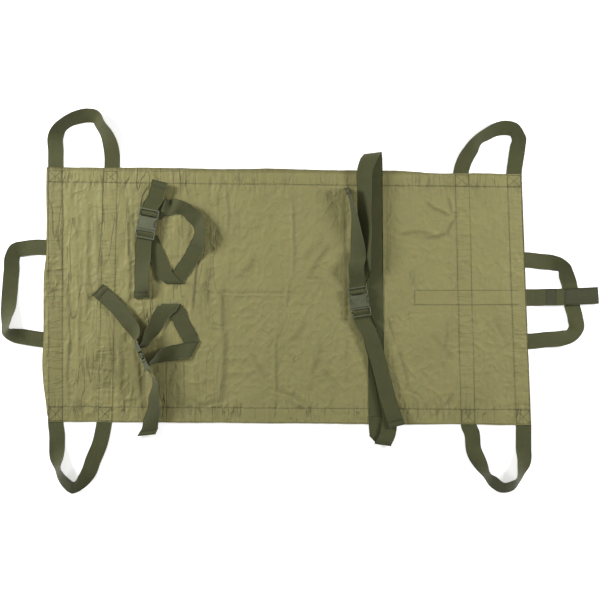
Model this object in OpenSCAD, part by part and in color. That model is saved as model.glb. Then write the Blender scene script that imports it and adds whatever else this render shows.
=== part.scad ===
// Folding stretcher: a soft carrying sheet with six webbing handles, two leg
// belts, one chest belt and a hook-and-loop closure strap. It has no poles, and
// it folds in three: the head end over the middle, then the foot end over both.
// +X is the head end, +Y the patient's right-hand side, +Z up from the ground.
// The origin is the centre of the middle of the sheet's underside.

/* [Sheet] */
// Distance from the origin to the foot end of the sheet
foot_reach = 762; // [756:1:768]
// Distance from the origin to the head end of the sheet, along its middle
head_reach = 769; // [765:1:775]
// Half width of the sheet at its middle
half_width = 403; // [401:1:405]
// Thickness of the coated fabric with its lining
sheet_thick = 3; // [2.6:0.1:3.2]
// Width of the sewn hems along both long sides
hem_width = 54; // [40:1:60]
// Thickness that a hem adds to the sheet
hem_thick = 0.8; // [0.4:0.1:1]

/* [Folds] */
// Foot side end of the middle panel
foot_fold_x = -112; // [-114:1:-110]
// Width of the strip that becomes the spine of the foot fold
foot_spine = 140; // [138:1:141]
// Head side end of the middle panel
head_fold_x = 420; // [418:1:422]
// Width of the strip that becomes the spine of the head fold
head_spine = 60; // [56:1:60]
// Gap between two panels at their fold line
fold_gap = 0.3; // [0.2:0.1:0.6]

/* [Webbing] */
// Width of all the webbing
web_width = 50; // [46:1:50]
// Thickness of the webbing
web_thick = 1.8; // [1.4:0.1:1.8]
// Gap between a handle and the edge it is sewn to
edge_gap = 1; // [0.6:0.1:1.5]

/* [Buckles] */
// Length of a closed buckle
buckle_length = 96; // [94:1:98]
// Width of a buckle
buckle_width = 64; // [62:1:66]
// Thickness of a buckle
buckle_thick = 14; // [13:0.5:14]
// Wall thickness of a buckle's housing
buckle_wall = 2.4; // [2:0.1:2.6]

/* [Hidden] */
$fn = 32;

// How far the long sides and the head end run out of square
upper_slope = -0.0106;
lower_slope = -0.0065;
head_slope = -0.04;
// Width and depth of the grooves under the sheet that the bands lie in
groove_width = web_width + 0.4;
groove_depth = 2;
band_thick = 1.95;
// Middle of each band where it crosses the upper and the lower side
foot_edge_x = [-736, -735];
foot_inner_x = [-560, -577];
head_inner_x = [563, 583];
head_edge_x = [729, 759];
// Middle and ends of the closure band
closure_y = 0;
closure_start = 486;
closure_stop = 712;

function upper_y(x) = half_width + upper_slope * x;
function lower_y(x) = -half_width + lower_slope * x;
function head_x(y) = head_reach + head_slope * y;

// --- Ribbons ---------------------------------------------------------------
// A station is [centre, across]: a point on the webbing's middle line, and the
// unit vector that lies across the webbing there.
function st(x, y, z, heading = 0, tilt = 0) =
    [[x, y, z], [cos(heading) * cos(tilt), sin(heading) * cos(tilt), sin(tilt)]];
// A flat fold: the webbing comes in along one heading at height z0, turns over a
// crease that lies along c, and leaves along another heading at height z1.
function fold(x, y, c, heading_in, heading_out, z0, z1, reach = 8) = [
    st(x - reach * cos(heading_in), y - reach * sin(heading_in), z0, c),
    st(x, y, (z0 + z1) / 2, c),
    st(x + reach * cos(heading_out), y + reach * sin(heading_out), z1, c)];
function unit(v) = v / norm(v);
function along(r, i) = unit(r[min(i + 1, len(r) - 1)][0] - r[max(i - 1, 0)][0]);
function half_ruling(r, i, w) = w / 2 / max(0.85, norm(cross(along(r, i), r[i][1])));
function ring(r, i, w, t) =
    let (side = r[i][1] * half_ruling(r, i, w),
         face = unit(cross(along(r, i), r[i][1])) * t / 2)
    [r[i][0] - side - face, r[i][0] + side - face, r[i][0] + side + face, r[i][0] - side + face];

module ribbon(route, w = web_width, t = web_thick) {
    last = len(route) - 1;
    points = [for (i = [0:last]) each ring(route, i, w, t)];
    // Both faces of a twisted stretch split along the same diagonal
    sides = [for (i = [0:last - 1], k = [0:3])
        let (a = 4 * i + k, b = 4 * i + (k + 1) % 4)
            each k < 2 ? [[a, b, a + 4], [b, b + 4, a + 4]] : [[a, b, b + 4], [a, b + 4, a + 4]]];
    ends = [[0, 3, 2], [0, 2, 1],
            [4 * last, 4 * last + 1, 4 * last + 2], [4 * last, 4 * last + 2, 4 * last + 3]];
    polyhedron(points, concat(sides, ends));
}

// --- Buckle places -----------------------------------------------------------
// [centre, heading of the housing's end, roll about the buckle's length]
right_leg_place = [[-442, 235, 17], 79, 0];
left_leg_place = [[-455, -187, 38], 115, -85];
chest_place = [[234, -14, 17], 99, 0];

function turned(place, v) =
    let (r = place[2], h = place[1],
         a = [v.x, v.y * cos(r) - v.z * sin(r), v.y * sin(r) + v.z * cos(r)])
    [a.x * cos(h) - a.y * sin(h), a.x * sin(h) + a.y * cos(h), a.z];
function placed(place, v) = place[0] + turned(place, v);
module at(place) {
    translate(place[0]) rotate([0, 0, place[1]]) rotate([place[2], 0, 0]) children();
}

// The webbing's way round a buckle's middle bar, as [along, up] from the tail to the run
bar_x = 31;
wrap_path = [[50, -0.6], [42, -0.2], [36, 2.6], [31, 4.4], [27, 3.2], [25.4, 0.4], [27, -2.4], [31, -3.6]];
function wrap(place, end) = [for (p = wrap_path)
    [placed(place, [end * p[0], 0, p[1]]), turned(place, [0, -1, 0])]];

// --- Routes of the handles, past the edge they are sewn to ------------------------
foot_right_route = [
    st(-735, upper_y(-735) + edge_gap, 1.9, 180), st(-735, 470, 2, 180), st(-735, 510, 7.5, 172, 12),
    st(-720, 540, 18, 150, 42), st(-695, 560, 20, 125, 48), st(-660, 575, 18, 100, 38),
    st(-630, 580, 16, 88, 34), st(-605, 575, 18, 60, 36), st(-590, 550, 20, 30, 45),
    st(-570, 520, 15, 10, 30), st(-560, 490, 7, 2, 10), st(-555, 460, 2),
    st(-555, upper_y(-555) + edge_gap, 1.9)];
head_right_route = [
    st(560, upper_y(560) + edge_gap, 1.9, 180), st(570, 435, 5, 170, 8), st(590, 470, 11, 158, 20),
    st(610, 500, 20, 148, 45), st(640, 520, 19, 120, 42), st(670, 535, 17, 100, 36),
    st(705, 540, 16, 92, 30), st(725, 535, 17, 68, 34), st(740, 510, 18, 30, 36),
    st(740, 480, 9, 12, 16), st(735, 440, 3, -2), st(730, upper_y(730) + edge_gap, 1.9)];
foot_left_route = [
    st(-735, lower_y(-735) - edge_gap, 1.9, 180), st(-730, -440, 5, 178, 6), st(-730, -475, 8, 182, 6),
    st(-730, -510, 12, 190, -20), st(-725, -545, 23, 205, -58), st(-715, -570, 22, 220, -50),
    st(-700, -590, 18, 232, -40), st(-680, -605, 16, 244, -34), st(-655, -590, 16, 276, -30),
    st(-630, -560, 12, 316, -18), st(-615, -520, 6, 326, -8), st(-595, -470, 3, 338),
    st(-580, lower_y(-580) - edge_gap, 1.9, 360)];
head_left_route = [
    st(585, lower_y(585) - edge_gap, 1.9, 180), st(595, -435, 3, 182), st(600, -485, 6, 188, 4),
    st(620, -530, 16, 205, -32), st(640, -565, 25, 226, -62), st(665, -590, 20, 250, -42),
    st(690, -605, 20, 262, -44), st(720, -600, 21, 290, -46), st(740, -580, 25, 316, -62),
    st(750, -555, 22, 336, -50), st(760, -525, 12, 346, -22), st(760, -485, 4, 354),
    st(760, -445, 2.5, 360), st(760, lower_y(760) - edge_gap, 1.9, 360)];
foot_end_route = [
    st(-foot_reach - edge_gap, 160, 1.9, 90), st(-805, 160, 2.5, 92), st(-840, 155, 5, 98, 4),
    st(-860, 150, 10, 118, 20), st(-870, 130, 14, 150, 26), st(-875, 85, 9, 172, 16),
    st(-880, 25, 8, 180, 10), st(-885, -30, 8, 184, -8), st(-890, -80, 18, 198, -42),
    st(-890, -110, 21, 222, -46), st(-870, -120, 14, 252, -28), st(-840, -125, 6, 264, -6),
    st(-foot_reach - edge_gap, -135, 1.9, 270)];
head_end_route = [
    st(head_x(120) + edge_gap, 120, 1.9, 92), st(815, 115, 2.5, 90), st(855, 110, 9, 84, 16),
    st(880, 100, 19, 60, 40), st(895, 70, 13, 34, 24), st(905, 45, 4, 16, 4), st(910, 20, 2.4, 8),
    st(915, -25, 2.4, 6), st(925, -65, 4, 4), st(925, -100, 14, -24, 28), st(910, -120, 16, -56, 36),
    st(880, -130, 9, -80, 14), st(830, -135, 3, -88),
    st(head_x(-140) + edge_gap, -140, 1.9, -88)];

// --- Routes of the belts --------------------------------------------------------
right_leg_route = concat(
    [st(-400, 370, 24, -14), st(-405, 345, 25, -16), st(-415, 315, 21, -12)],
    wrap(right_leg_place, 1),
    fold(-430, 280, 40, 79, 0, 8.2, 6),
    [st(-405, 275, 6, 84), st(-375, 285, 9, 90, 6), st(-350, 290, 16, 76, 22),
     st(-325, 285, 19, 64, 30), st(-300, 265, 19, 62, 28), st(-280, 240, 19, 52, 30),
     st(-275, 215, 24, 26, 44), st(-275, 190, 20, -24, 34), st(-285, 160, 11, -27, 12),
     st(-305, 120, 6.5, -27), st(-330, 85, 6, -24)],
    fold(-355, 45, 0, 234, 139, 6, 9.4),
    [st(-380, 65, 9, 8), st(-395, 95, 7.6, 14), st(-410, 135, 6.6, 16), st(-425, 170, 6.4, 14),
     st(-435, 195, 6.4, 8)]);
right_leg_tail_route = concat(
    [st(-460, 0, 8, 3), st(-460, 25, 16, 3, 22), st(-460, 75, 17, 0, 24), st(-455, 125, 17, 0, 6)],
    wrap(right_leg_place, -1));
left_leg_route = concat(
    [st(-600, 25, 9, 45), st(-565, -5, 12, 48, 4), st(-530, -40, 16, 50, 8), st(-500, -80, 21, 46, 18),
     st(-480, -105, 27, 36, 34), st(-475, -125, 33, 20, 56)],
    wrap(left_leg_place, 1),
    [st(-450, -150, 36, 115, 68), st(-435, -120, 31, 130, 50), st(-420, -100, 24, 135, 32),
     st(-405, -70, 17, 138, 16), st(-385, -40, 12.6, 150, 4)],
    fold(-365, -20, 180, 54, 304, 11, 7.6),
    [st(-345, -50, 6.4, 186), st(-330, -85, 6, 192), st(-310, -120, 6, 204)],
    fold(-290, -165, 243, 290, 193, 6.2, 10),
    [st(-320, -170, 10.4, 248), st(-350, -175, 12, 252, -4), st(-380, -180, 19, 258, -18),
     st(-405, -190, 27, 264, -44), st(-415, -200, 34, 268, -66), st(-430, -210, 37, 270, -78)]);
left_leg_tail_route = concat(
    [st(-445, -440, 8, 6, 4), st(-435, -420, 9, 9, 6), st(-430, -395, 14, 9, 14),
     st(-420, -355, 21, 9, 32), st(-420, -310, 29, 12, 50), st(-415, -275, 34, 16, 66)],
    wrap(left_leg_place, -1));
chest_right_route = concat(
    [st(195, 350, 30, -6, 80), st(210, 300, 31, -4, 78), st(220, 250, 31, 0, 66),
     st(225, 200, 30, 0, 46), st(230, 150, 29, 0, 20), st(230, 125, 30, 10, 6), st(225, 105, 37, 6),
     st(225, 75, 32, 4), st(228, 55, 23, 6)],
    wrap(chest_place, 1),
    [st(229, 24, 7, 9), st(233, 50, 7, 7), st(245, 85, 17, 4, 24), st(255, 150, 26, 0, 52),
     st(255, 215, 27, 0, 42), st(250, 280, 30, 0, 30), st(250, 350, 32, 0, 20), st(250, 395, 34, 0, 14),
     st(260, 430, 33, 4, 8), st(270, 450, 29, 8, 4), st(280, 460, 21, 7, 2), st(282, 455, 12, 4),
     st(284, 425, 7.5, 2), st(284, 386, 6.2)]);
chest_left_route = concat([
    st(245, -40, 7.4, 12), st(250, -65, 7.6, 14), st(265, -105, 7.8, 15), st(285, -175, 7.6, 15),
    st(305, -250, 8, 14), st(320, -330, 9, 10), st(330, -390, 12, 4), st(325, -435, 17, -4)],
    fold(310, -470, -8, 248, 98, 17, 8),
    [st(295, -440, 7, -2), st(290, -410, 6.4), st(290, -378, 6.2)]);
chest_tail_route = concat(
    [st(355, -410, 22, 14), st(345, -380, 22, 14), st(330, -335, 18, 14), st(310, -260, 16, 14),
     st(290, -185, 16, 14), st(265, -110, 18, 14)],
    wrap(chest_place, -1));

// --- Colours ---------------------------------------------------------------------
fabric_colour = [0.56, 0.54, 0.37];
hem_colour = [0.52, 0.50, 0.34];
webbing_colour = [0.32, 0.33, 0.24];
tape_colour = [0.24, 0.25, 0.18];
plastic_colour = [0.30, 0.31, 0.23];

// --- Sheet -------------------------------------------------------------------------
module panel_plate(x0, x1) {
    linear_extrude(sheet_thick)
        polygon([[x0, lower_y(x0)], [x1, lower_y(x1)], [x1, upper_y(x1)], [x0, upper_y(x0)]]);
}

module strip(ends, w) {
    low = ends[1];
    high = ends[0];
    polygon([[low - w / 2, lower_y(low) + 2], [low + w / 2, lower_y(low) + 2],
             [high + w / 2, upper_y(high) - 2], [high - w / 2, upper_y(high) - 2]]);
}

module closure_outline(w) {
    difference() {
        translate([closure_start, closure_y - w / 2]) square([closure_stop - closure_start, w]);
        strip(head_inner_x, groove_width + 1);
        strip(head_edge_x, groove_width + 1);
    }
}

module groove() {
    translate([0, 0, -1]) linear_extrude(groove_depth + 1) children();
}

module band(ends) {
    color(webbing_colour) linear_extrude(band_thick) strip(ends, web_width);
}

module middle_panel() {
    color(fabric_colour) panel_plate(foot_fold_x, head_fold_x);
}

module foot_fold_strip() {
    color(fabric_colour) panel_plate(foot_fold_x - foot_spine, foot_fold_x - fold_gap);
}

module head_fold_strip() {
    color(fabric_colour) panel_plate(head_fold_x + fold_gap, head_fold_x + head_spine);
}

module foot_panel() {
    color(fabric_colour) difference() {
        panel_plate(-foot_reach, foot_fold_x - foot_spine - fold_gap);
        groove() strip(foot_edge_x, groove_width);
        groove() strip(foot_inner_x, groove_width);
    }
}

module head_panel() {
    x0 = head_fold_x + head_spine + fold_gap;
    top = head_x(half_width);
    low = head_x(-half_width);
    color(fabric_colour) difference() {
        linear_extrude(sheet_thick)
            polygon([[x0, lower_y(x0)], [low, lower_y(low)], [top, upper_y(top)], [x0, upper_y(x0)]]);
        groove() strip(head_inner_x, groove_width);
        groove() strip(head_edge_x, groove_width);
        groove() closure_outline(groove_width);
    }
}

// Upper and lower hem between two places along the sheet
module hems(x0, x1) {
    color(hem_colour) translate([0, 0, sheet_thick]) linear_extrude(hem_thick) {
        polygon([[x0, upper_y(x0) - hem_width], [x1, upper_y(x1) - hem_width],
                 [x1, upper_y(x1)], [x0, upper_y(x0)]]);
        polygon([[x0, lower_y(x0)], [x1, lower_y(x1)],
                 [x1, lower_y(x1) + hem_width], [x0, lower_y(x0) + hem_width]]);
    }
}

hem_inset = 1.2;
module middle_hems() { hems(foot_fold_x + hem_inset, head_fold_x - hem_inset); }
module foot_fold_hems() { hems(foot_fold_x - foot_spine + hem_inset, foot_fold_x - hem_inset); }
module foot_hems() { hems(-foot_reach + hem_inset, foot_fold_x - foot_spine - hem_inset); }
module head_fold_hems() { hems(head_fold_x + hem_inset, head_fold_x + head_spine - hem_inset); }
module head_hems() { hems(head_fold_x + head_spine + hem_inset, head_x(half_width) - hem_inset); }

module foot_edge_band() { band(foot_edge_x); }
module foot_inner_band() { band(foot_inner_x); }
module head_inner_band() { band(head_inner_x); }
module head_edge_band() { band(head_edge_x); }
module closure_band() {
    color(webbing_colour) linear_extrude(band_thick) closure_outline(web_width);
}

// --- Handles -------------------------------------------------------------------------
module handle(route) {
    color(webbing_colour) ribbon(route);
}

module foot_right_handle() { handle(foot_right_route); }
module foot_left_handle() { handle(foot_left_route); }
module head_right_handle() { handle(head_right_route); }
module head_left_handle() { handle(head_left_route); }
module foot_end_handle() { handle(foot_end_route); }
module head_end_handle() { handle(head_end_route); }

// --- Closure strap, over the head end handle ------------------------------------------
strap_width = 54;
tape_width = 50;
tape_thick = 1.2;
function strap_line(lift) = [
    st(head_x(0) + edge_gap, 0, 1.9 + lift, 92), st(800, 0, 3.5 + lift, 92), st(832, 1, 7 + lift, 92),
    st(862, 1, 8.6 + lift, 92), st(890, 2, 9 + lift, 92), st(940, 4, 9 + lift, 93), st(998, 7, 8 + lift, 94)];
function part_of(r, first, last) = [for (i = [first:last]) r[i]];
tape_lift = (web_thick + tape_thick) / 2 + 0.05;

module closure_strap() {
    color(webbing_colour) ribbon(strap_line(0), strap_width);
}

module closure_hook_tape() {
    color(tape_colour) ribbon(part_of(strap_line(tape_lift), 4, 6), tape_width, tape_thick);
}

module closure_loop_tape() {
    color(tape_colour) ribbon(part_of(strap_line(tape_lift), 2, 3), tape_width, tape_thick);
}

// --- Sewn ends of the belts -----------------------------------------------------------------
module anchor(x0, x1, y0, y1) {
    color(webbing_colour) translate([x0, y0, sheet_thick]) cube([x1 - x0, y1 - y0, web_thick - 0.2]);
}

module right_leg_anchor() { anchor(-306, -256, 140, 190); }
module left_leg_anchor() { anchor(-318, -268, -156, -106); }
module chest_back_run() {
    color(webbing_colour) ribbon([st(284, 383, 5), st(290, -375, 5)]);
}

module right_leg_webbing() { color(webbing_colour) ribbon(right_leg_route); }
module left_leg_webbing() { color(webbing_colour) ribbon(left_leg_route); }
module chest_right_webbing() { color(webbing_colour) ribbon(chest_right_route); }
module chest_left_webbing() { color(webbing_colour) ribbon(chest_left_route); }
module right_leg_tail() { color(webbing_colour) ribbon(right_leg_tail_route); }
module left_leg_tail() { color(webbing_colour) ribbon(left_leg_tail_route); }
module chest_tail() { color(webbing_colour) ribbon(chest_tail_route); }

// --- Side-release buckle, with its length along X and the housing at +X ------------------------
half_l = buckle_length / 2;
half_w = buckle_width / 2;
rail = 4;
slot_start = 21;
cavity_height = 8;
mouth_x = -18;
window_start = -8;
window_stop = 16;
clearance = 0.4;
prong_height = cavity_height - 2 * clearance;
prong_pivot = [-15.6, 19];
prong_bar = 6;
prong_reach = 17.4;

module rounded_plate(x0, x1, w, r, h) {
    translate([0, 0, -h / 2]) linear_extrude(h) union() {
        translate([x0 + r, -w / 2]) square([x1 - x0 - 2 * r, w]);
        translate([x0, -w / 2 + r]) square([x1 - x0, w - 2 * r]);
        for (x = [x0 + r, x1 - r], y = [-w / 2 + r, w / 2 - r]) translate([x, y]) circle(r);
    }
}

// Frame with the raised end bar, the round middle bar and the slot for the webbing
module web_frame(end) {
    inner_x = slot_start;
    outer_x = half_l - 5;
    rotate([0, 0, end > 0 ? 0 : 180]) {
        for (side = [-1, 1]) translate([inner_x - 1, side > 0 ? half_w - rail : -half_w, -buckle_thick / 2])
            cube([outer_x - inner_x + 2, rail, buckle_thick]);
        translate([outer_x, -half_w, 1.4]) cube([5, buckle_width, buckle_thick / 2 - 1.4]);
        for (side = [-1, 1]) translate([outer_x, side > 0 ? half_w - rail : -half_w, -buckle_thick / 2])
            cube([5, rail, buckle_thick]);
        translate([bar_x, half_w - 1, 0.4]) rotate([90, 0, 0]) cylinder(h = buckle_width - 2, d = 5);
    }
}

module housing() {
    color(plastic_colour) union() {
        difference() {
            rounded_plate(mouth_x, slot_start, buckle_width, 4, buckle_thick);
            translate([mouth_x - 1, -half_w + buckle_wall, -cavity_height / 2])
                cube([slot_start - mouth_x - 1, buckle_width - 2 * buckle_wall, cavity_height]);
            translate([window_start, -half_w - 1, -cavity_height / 2])
                cube([window_stop - window_start, buckle_width + 2, cavity_height]);
        }
        web_frame(1);
    }
}

module latch() {
    color(plastic_colour) union() {
        translate([-slot_start - 2, -half_w, -buckle_thick / 2]) cube([4, buckle_width, buckle_thick]);
        translate([-slot_start, -5, -prong_height / 2]) cube([slot_start + 15, 10, prong_height]);
        web_frame(-1);
    }
}

// One springy side prong, with the button that shows in the housing's window
module prong(side) {
    button_stop = window_stop - 1.4;
    color(plastic_colour) mirror([0, side > 0 ? 0 : 1, 0]) translate([0, 0, -prong_height / 2])
        linear_extrude(prong_height) union() {
            translate([prong_pivot.x, prong_pivot.y - prong_bar / 2])
                square([prong_reach - prong_pivot.x, prong_bar]);
            translate([window_start + clearance, prong_pivot.y])
                square([button_stop - window_start - clearance, half_w - 0.6 - prong_pivot.y]);
            translate(prong_pivot) circle(prong_bar / 2);
        }
}

module right_leg_housing() { at(right_leg_place) housing(); }
module left_leg_housing() { at(left_leg_place) housing(); }
module chest_housing() { at(chest_place) housing(); }
module right_leg_latch() { at(right_leg_place) latch(); }
module left_leg_latch() { at(left_leg_place) latch(); }
module chest_latch() { at(chest_place) latch(); }
module right_leg_prong_a() { at(right_leg_place) prong(1); }
module right_leg_prong_b() { at(right_leg_place) prong(-1); }
module left_leg_prong_a() { at(left_leg_place) prong(1); }
module left_leg_prong_b() { at(left_leg_place) prong(-1); }
module chest_prong_a() { at(chest_place) prong(1); }
module chest_prong_b() { at(chest_place) prong(-1); }

middle_panel();
foot_fold_strip();
foot_panel();
head_fold_strip();
head_panel();
middle_hems();
foot_fold_hems();
foot_hems();
head_fold_hems();
head_hems();
foot_edge_band();
foot_inner_band();
head_inner_band();
head_edge_band();
closure_band();
foot_right_handle();
foot_left_handle();
head_right_handle();
head_left_handle();
foot_end_handle();
head_end_handle();
closure_strap();
closure_hook_tape();
closure_loop_tape();
right_leg_anchor();
left_leg_anchor();
chest_back_run();
right_leg_webbing();
left_leg_webbing();
chest_right_webbing();
chest_left_webbing();
right_leg_tail();
left_leg_tail();
chest_tail();
right_leg_housing();
left_leg_housing();
chest_housing();
right_leg_latch();
left_leg_latch();
chest_latch();
right_leg_prong_a();
right_leg_prong_b();
left_leg_prong_a();
left_leg_prong_b();
chest_prong_a();
chest_prong_b();
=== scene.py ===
"""The looks of a folding stretcher: an olive carrying sheet with webbing handles, belts and buckles."""
import math

import bmesh
import bpy
import numpy as np
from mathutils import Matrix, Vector


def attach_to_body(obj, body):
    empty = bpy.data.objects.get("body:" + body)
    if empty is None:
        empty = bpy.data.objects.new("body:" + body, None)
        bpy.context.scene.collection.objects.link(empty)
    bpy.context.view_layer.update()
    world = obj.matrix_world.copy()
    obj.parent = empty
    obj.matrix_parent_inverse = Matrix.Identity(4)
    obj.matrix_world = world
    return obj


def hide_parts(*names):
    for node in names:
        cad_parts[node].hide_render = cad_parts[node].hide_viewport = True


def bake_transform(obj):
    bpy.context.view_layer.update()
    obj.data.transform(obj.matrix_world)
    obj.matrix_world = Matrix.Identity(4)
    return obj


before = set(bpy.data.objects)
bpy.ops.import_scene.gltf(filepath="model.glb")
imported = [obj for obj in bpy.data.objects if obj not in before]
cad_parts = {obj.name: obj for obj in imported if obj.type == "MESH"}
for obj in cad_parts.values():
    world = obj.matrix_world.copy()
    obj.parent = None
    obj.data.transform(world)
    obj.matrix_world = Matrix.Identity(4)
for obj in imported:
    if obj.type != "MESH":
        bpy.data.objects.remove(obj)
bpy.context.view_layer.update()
MM = 0.001

# --- Sizes, in millimetres, as in the design ---
FOOT_REACH = 762
HEAD_REACH = 769
HALF_WIDTH = 403
UPPER_HEM = 42
LOWER_HEM = 49
WEB = 50
WEB_THICK = 1.8
UPPER_SLOPE = -0.0106
LOWER_SLOPE = -0.0065
HEAD_SLOPE = -0.04
FOOT_EDGE_X = (-736, -735)
FOOT_INNER_X = (-560, -577)
HEAD_INNER_X = (563, 583)
HEAD_EDGE_X = (729, 759)
CLOSURE_START = 409
CLOSURE_STOP = 712
# Distance from the middle of the closure band, and of the other bands, to their seams
CLOSURE_SEAM = 23
BAND_SEAM = 22
# Half the square that is sewn over each end of a side handle
BOX_HALF = 21
# Where the two ends of the foot end's and the head end's handle are sewn, along Y
FOOT_END_Y = (160, -135)
HEAD_END_Y = (120, -140)
# How far a side handle's end reaches in under the sheet, and how much of a belt's end is turned back
TUCK = 21
TURN_BACK = 21
# Middle height of the sheet's upper face, and how far its relief goes above and below
FACE = 3.1
RELIEF = 1.4
# Pitch of the sheet's grid, and how much steeper its shading is than its relief
GRID = 3.4
SHADING = 1.7
# Radius of the thread in seams and in the squares that hold the handles
THREAD = 0.42
HEAVY_THREAD = 0.65


def upper_y(x):
    return HALF_WIDTH + UPPER_SLOPE * x


def lower_y(x):
    return -HALF_WIDTH + LOWER_SLOPE * x


def head_x(y):
    return HEAD_REACH + HEAD_SLOPE * y


# --- Noise ---
_table = np.random.default_rng(7).permutation(256)
_angles = np.random.default_rng(11).uniform(0, 2 * math.pi, 256)


def noise(x, y, seed=0):
    """Smooth gradient noise of about -1 to 1, one unit per feature."""
    x, y = np.broadcast_arrays(np.asarray(x, float) + 37.3 * seed, np.asarray(y, float) - 19.7 * seed)
    xi, yi = np.floor(x).astype(int), np.floor(y).astype(int)
    fx, fy = x - xi, y - yi

    def corner(dx, dy):
        a = _angles[_table[(_table[(xi + dx) & 255] + yi + dy) & 255]]
        return np.cos(a) * (fx - dx) + np.sin(a) * (fy - dy)

    u = fx ** 3 * (fx * (fx * 6 - 15) + 10)
    v = fy ** 3 * (fy * (fy * 6 - 15) + 10)
    low = corner(0, 0) * (1 - u) + corner(1, 0) * u
    high = corner(0, 1) * (1 - u) + corner(1, 1) * u
    return 1.5 * (low * (1 - v) + high * v)


def step(a, b, x):
    """A smooth step from 0 at a to 1 at b."""
    t = np.clip((np.asarray(x, float) - a) / (b - a), 0, 1)
    return t * t * (3 - 2 * t)


# --- Materials ---
def feed(tree, socket, value):
    """Sets a socket to a constant, or links another node's output to it."""
    if isinstance(value, bpy.types.NodeSocket):
        tree.links.new(value, socket)
    else:
        socket.default_value = value

def node(tree, kind, output, **settings):
    """Adds a node and returns one of its outputs. The settings are its inputs or its properties."""
    n = tree.nodes.new("ShaderNode" + kind)
    for key, value in settings.items():
        socket = key.replace("_", " ")
        if socket in n.inputs:
            feed(tree, n.inputs[socket], value)
        else:
            setattr(n, key, value)
    return n.outputs[output]

def maths(tree, operation, *values, clamp=False):
    """An operation on constants and other nodes' outputs."""
    n = tree.nodes.new("ShaderNodeMath")
    n.operation = operation
    n.use_clamp = clamp
    for socket, value in zip(n.inputs, values):
        feed(tree, socket, value)
    return n.outputs[0]

def mixed(tree, share, first, second, blend="MIX"):
    """A mix of two colours, each a constant or another node's output."""
    n = tree.nodes.new("ShaderNodeMix")
    n.data_type = "RGBA"
    n.blend_type = blend
    for index, value in ((0, share), (6, first), (7, second)):
        feed(tree, n.inputs[index], value)
    return n.outputs[2]

def toned(colour, gain=1):
    return (*[gain * c for c in colour], 1)

def new_material(name):
    m = bpy.data.materials.new(name)
    m.use_nodes = True
    return m, m.node_tree

def surface(tree, **settings):
    """Sets or links the inputs of a material's shader."""
    shader = tree.nodes["Principled BSDF"]
    for key, value in settings.items():
        feed(tree, shader.inputs[key.replace("_", " ")], value)

def thin_lines(tree, place, stretch, distortion, width, low, high, strength):
    """Thin wandering creases where a stretched noise crosses its middle, kept only in patches.
    Their strength is a number, or the name of one of the sheet's attributes."""
    stretched = node(tree, "Mapping", "Vector", Vector=place, Scale=stretch)
    field = node(tree, "TexNoise", "Fac", Vector=stretched, Scale=1.0, Detail=2.0, Roughness=0.45,
                 Distortion=distortion)
    off_middle = maths(tree, "ABSOLUTE", maths(tree, "SUBTRACT", field, 0.5))
    line = node(tree, "MapRange", "Result", interpolation_type="SMOOTHSTEP", Value=off_middle,
                From_Max=width, To_Min=1.0, To_Max=0.0)
    patch = node(tree, "TexNoise", "Fac", Vector=stretched, Scale=0.45, Detail=1.0)
    keep = node(tree, "MapRange", "Result", interpolation_type="SMOOTHSTEP", Value=patch,
                From_Min=low, From_Max=high)
    if isinstance(strength, str):
        strength = node(tree, "Attribute", "Fac", attribute_name=strength)
    return maths(tree, "MULTIPLY", maths(tree, "MULTIPLY", line, keep), strength)

# Layers of thin creases, painted in as shade and bumped: stretch, distortion, width, limits of the patches,
# strength
THIN_LINES = (
    ((9, 6, 1), 1.1, 0.014, 0.52, 0.66, 0.30), ((20, 15, 1), 0.9, 0.018, 0.54, 0.68, 0.28),
    ((24, 4, 1), 0.35, 0.035, 0.42, 0.60, "streak"), ((46, 7, 1), 0.30, 0.045, 0.36, 0.56, "pucker"),
    ((7, 52, 1), 0.30, 0.045, 0.38, 0.58, "gather"))

def fabric_material(name, base, dark):
    """Coated plain-weave fabric: fine weave, soft mottling, painted shade in creases and along thin crease
    lines, a light sheen.
    """
    m, tree = new_material(name)
    place = node(tree, "TexCoord", "Object")
    broad = node(tree, "TexNoise", "Fac", Vector=place, Scale=7.0, Detail=4.0, Roughness=0.6)
    fine = node(tree, "TexNoise", "Color", Vector=place, Scale=90.0, Detail=3.0, Roughness=0.6)
    mottled = mixed(tree, broad, toned(base, 0.87), toned(base, 1.13))
    speck = mixed(tree, 0.22, mottled, fine, "MULTIPLY")
    gain = node(tree, "BrightContrast", "Color", Color=speck, Bright=0.012)
    # Painted shade from the sheet's crease attribute darkens creases, seams and rims
    crease = node(tree, "Attribute", "Fac", attribute_name="crease")
    shade = mixed(tree, crease, gain, toned(dark))
    layers = [thin_lines(tree, place, *layer) for layer in THIN_LINES]
    total = layers[0]
    for layer in layers[1:]:
        total = maths(tree, "ADD", total, layer)
    # Thin crease lines are painted in as shade, and bumped below
    lined = mixed(tree, maths(tree, "MULTIPLY", total, 0.6, clamp=True), shade, toned(dark))
    threads = [node(tree, "TexWave", "Fac", Vector=place, Scale=160.0, Distortion=0.6, bands_direction=axis)
               for axis in "XY"]
    weave = node(tree, "Bump", "Normal", Height=maths(tree, "ADD", *threads), Strength=0.12, Distance=0.0003)
    crumple = node(tree, "TexNoise", "Fac", Vector=place, Scale=34.0, Detail=5.0, Roughness=0.62,
                   Distortion=1.2)
    bump = node(tree, "Bump", "Normal", Height=crumple, Normal=weave, Strength=0.6, Distance=0.003)
    normal = node(tree, "Bump", "Normal", Height=total, Normal=bump, Strength=0.8, Distance=0.002,
                  invert=True)
    surface(tree, Base_Color=lined, Normal=normal, Roughness=0.62, Specular_IOR_Level=0.35,
            Sheen_Weight=0.25, Sheen_Roughness=0.5)
    return m

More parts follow.
